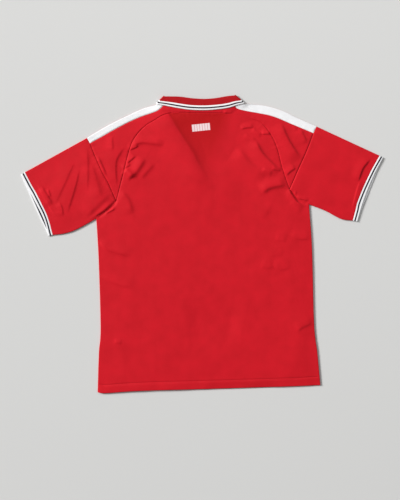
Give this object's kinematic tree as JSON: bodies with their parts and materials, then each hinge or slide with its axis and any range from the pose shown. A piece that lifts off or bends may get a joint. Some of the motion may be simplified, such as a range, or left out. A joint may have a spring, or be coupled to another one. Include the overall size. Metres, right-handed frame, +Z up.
{
  "type": "football jersey",
  "caption": "Short-sleeved jersey with a fold-over rib collar, shoulder bands and rib cuffs, laid flat on its front.",
  "frame": {"origin": "middle of the flat underside's bounding box, on the surface that the jersey lies on", "axes": "+Z up out of the back of the jersey; +Y from the hem to the collar; +X to the right seen from above, the wearer's right"},
  "size_m": [0.8915, 0.7344, 0.0079],
  "materials": {
    "red_knit": "knitted polyester",
    "white_band": "knitted polyester",
    "rib": "rib knit with white and dark tipping"
  },
  "bodies": {
    "root": {"front_panel": "red_knit", "back_panel": "red_knit", "back_yoke": "red_knit", "sleeve_left": "red_knit", "sleeve_right": "red_knit", "shoulder_band_left": "white_band", "shoulder_band_right": "white_band", "collar": "rib", "cuff_left": "rib", "cuff_right": "rib"}
  },
  "joints": []
}
